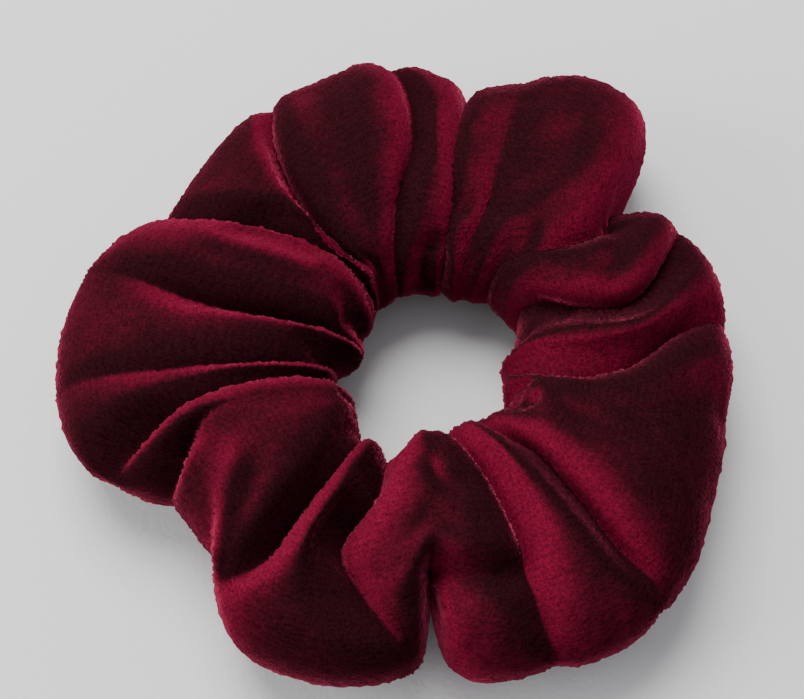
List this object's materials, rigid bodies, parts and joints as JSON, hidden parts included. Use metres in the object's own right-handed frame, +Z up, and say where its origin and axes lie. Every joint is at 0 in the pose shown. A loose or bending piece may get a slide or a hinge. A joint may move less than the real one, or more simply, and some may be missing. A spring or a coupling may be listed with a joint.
{
  "type": "scrunchie",
  "caption": "Gathered velvet tube over a hidden braided elastic loop; the loop stretches open to slip round a bunch of hair.",
  "frame": {"origin": "middle of the outline, on the surface that the scrunchie lies on", "axes": "+Z up through the hair hole; +X towards the narrower side of the ring, +Y away from the viewer"},
  "size_m": [0.1139, 0.1161, 0.0278],
  "materials": {
    "velvet": "matte",
    "velvet_back": "matte",
    "thread": "satin",
    "elastic_jacket": "matte",
    "rubber": "matte"
  },
  "bodies": {
    "gather_1": {"gather_1": "velvet", "elastic_braid": "elastic_jacket", "rubber_cores": "rubber", "elastic_lap": "elastic_jacket", "lap_stitches": "thread", "seam_allowance": "velvet_back", "seam_thread": "thread"},
    "gather_2": {"gather_2": "velvet"},
    "gather_3": {"gather_3": "velvet"},
    "gather_4": {"gather_4": "velvet"},
    "gather_5": {"gather_5": "velvet"},
    "gather_6": {"gather_6": "velvet"},
    "gather_7": {"gather_7": "velvet"},
    "gather_8": {"gather_8": "velvet"},
    "gather_9": {"gather_9": "velvet"},
    "gather_10": {"gather_10": "velvet"},
    "closing_end": {"tucked_end": "velvet", "closing_stitches": "thread"}
  },
  "joints": [
    {"name": "stretch_1", "type": "slide", "parent": "gather_1", "child": "gather_2", "axis": [-0.5878, 0.809, 0], "range_m": [0, 0.01648], "stiffness_N_per_m": 600, "deforming": ["elastic_braid", "rubber_cores", "seam_allowance", "seam_thread"]},
    {"name": "stretch_2", "type": "slide", "parent": "gather_2", "child": "gather_3", "axis": [-0.984, 0.1779, 0], "range_m": [0, 0.01631]},
    {"name": "stretch_3", "type": "slide", "parent": "gather_3", "child": "gather_4", "axis": [-0.887, -0.4617, 0], "range_m": [0, 0.01213]},
    {"name": "stretch_4", "type": "slide", "parent": "gather_4", "child": "gather_5", "axis": [-0.4962, -0.8682, 0], "range_m": [0, 0.01268]},
    {"name": "stretch_5", "type": "slide", "parent": "gather_5", "child": "gather_6", "axis": [0.1736, -0.9848, 0], "range_m": [0, 0.01719]},
    {"name": "stretch_6", "type": "slide", "parent": "gather_6", "child": "gather_7", "axis": [0.788, -0.6157, 0], "range_m": [0, 0.01433]},
    {"name": "stretch_7", "type": "slide", "parent": "gather_7", "child": "gather_8", "axis": [0.9966, -0.0828, 0], "range_m": [0, 0.01083]},
    {"name": "stretch_8", "type": "slide", "parent": "gather_8", "child": "gather_9", "axis": [0.932, 0.3624, 0], "range_m": [0, 0.00896]},
    {"name": "stretch_9", "type": "slide", "parent": "gather_9", "child": "gather_10", "axis": [0.6724, 0.7402, 0], "range_m": [0, 0.0112]},
    {"name": "stretch_10", "type": "slide", "parent": "gather_10", "child": "closing_end", "axis": [0.1175, 0.9931, 0], "range_m": [0, 0.01559]}
  ],
  "couplings": [
    {"joint": "stretch_2", "follows": "stretch_1", "ratio": 0.98919},
    {"joint": "stretch_3", "follows": "stretch_1", "ratio": 0.73581},
    {"joint": "stretch_4", "follows": "stretch_1", "ratio": 0.76933},
    {"joint": "stretch_5", "follows": "stretch_1", "ratio": 1.043},
    {"joint": "stretch_6", "follows": "stretch_1", "ratio": 0.86909},
    {"joint": "stretch_7", "follows": "stretch_1", "ratio": 0.6571},
    {"joint": "stretch_8", "follows": "stretch_1", "ratio": 0.54361},
    {"joint": "stretch_9", "follows": "stretch_1", "ratio": 0.67965},
    {"joint": "stretch_10", "follows": "stretch_1", "ratio": 0.94577}
  ]
}
